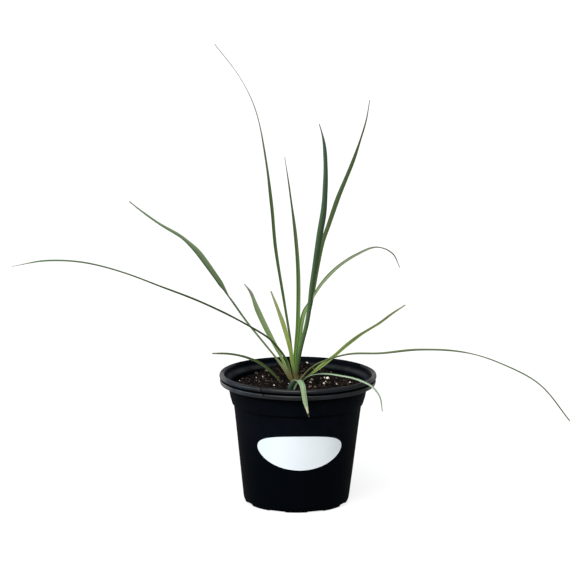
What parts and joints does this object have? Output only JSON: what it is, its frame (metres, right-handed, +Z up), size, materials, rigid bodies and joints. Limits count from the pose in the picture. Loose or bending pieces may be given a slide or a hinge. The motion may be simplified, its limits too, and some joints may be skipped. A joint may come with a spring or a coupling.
{
  "type": "potted yucca",
  "caption": "Young yucca with long arching strap leaves, growing from a short crown in a round black nursery pot with a rolled rim and a blank oval label.",
  "frame": {"origin": "centre of the pot's flat base, on the surface that the pot stands on", "axes": "+Z up, the label faces -Y, +X to the right when facing the label"},
  "size_m": [0.3944, 0.1906, 0.3282],
  "materials": {
    "pot": "satin moulded black polypropylene",
    "label": "smooth white sticker",
    "soil": "dark peat and bark mix with perlite",
    "crown": "dry husk",
    "leaf": "waxy green leaf with fine lengthwise ribs"
  },
  "bodies": {
    "root": {"pot": "pot", "label": "label", "soil": "soil", "crown": "crown", "leaf_a": "leaf", "leaf_b": "leaf", "leaf_c": "leaf", "leaf_d": "leaf", "leaf_e": "leaf", "leaf_f": "leaf", "leaf_g": "leaf", "leaf_h": "leaf", "leaf_i": "leaf", "leaf_j": "leaf", "leaf_k": "leaf", "leaf_l": "leaf", "leaf_m": "leaf", "leaf_n": "leaf"}
  },
  "joints": []
}
